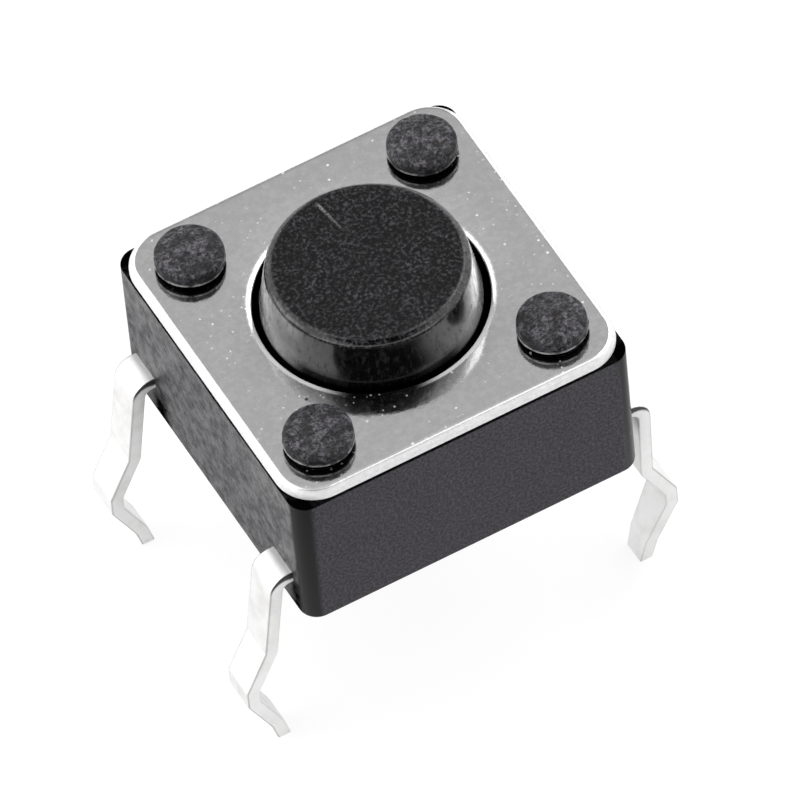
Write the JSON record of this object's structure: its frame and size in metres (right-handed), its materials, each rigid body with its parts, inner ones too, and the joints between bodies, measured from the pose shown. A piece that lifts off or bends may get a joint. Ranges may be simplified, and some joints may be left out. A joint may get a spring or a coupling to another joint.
{
  "type": "tactile push button switch",
  "caption": "Square low-profile tactile push button switch with a round black button, staked metal cover and bent through-hole legs.",
  "frame": {"origin": "centre of the housing's flat underside, which seats on the circuit board", "axes": "+Z the way the button stands; the legs leave the housing through its -X and +X walls; the centre contact's terminal is at +Y"},
  "size_m": [0.0078, 0.006, 0.0071],
  "materials": {
    "housing": "fine-grained black moulding",
    "cover": "satin tin plating, rolled bright at its edges",
    "button": "spark-textured black moulding",
    "dome": "bright spring sheet",
    "terminals": "silver-plated, satin"
  },
  "bodies": {
    "housing": {"base": "housing", "cover_plate": "cover", "snap_dome": "dome", "centre_terminal": "terminals", "rim_terminal": "terminals"},
    "button": {"button": "button"}
  },
  "joints": [
    {"name": "button_press", "type": "slide", "parent": "housing", "child": "button", "axis": [0, 0, -1], "range_m": [0, 0.00025], "stiffness_N_per_m": 6300, "deforming": ["snap_dome"]}
  ]
}
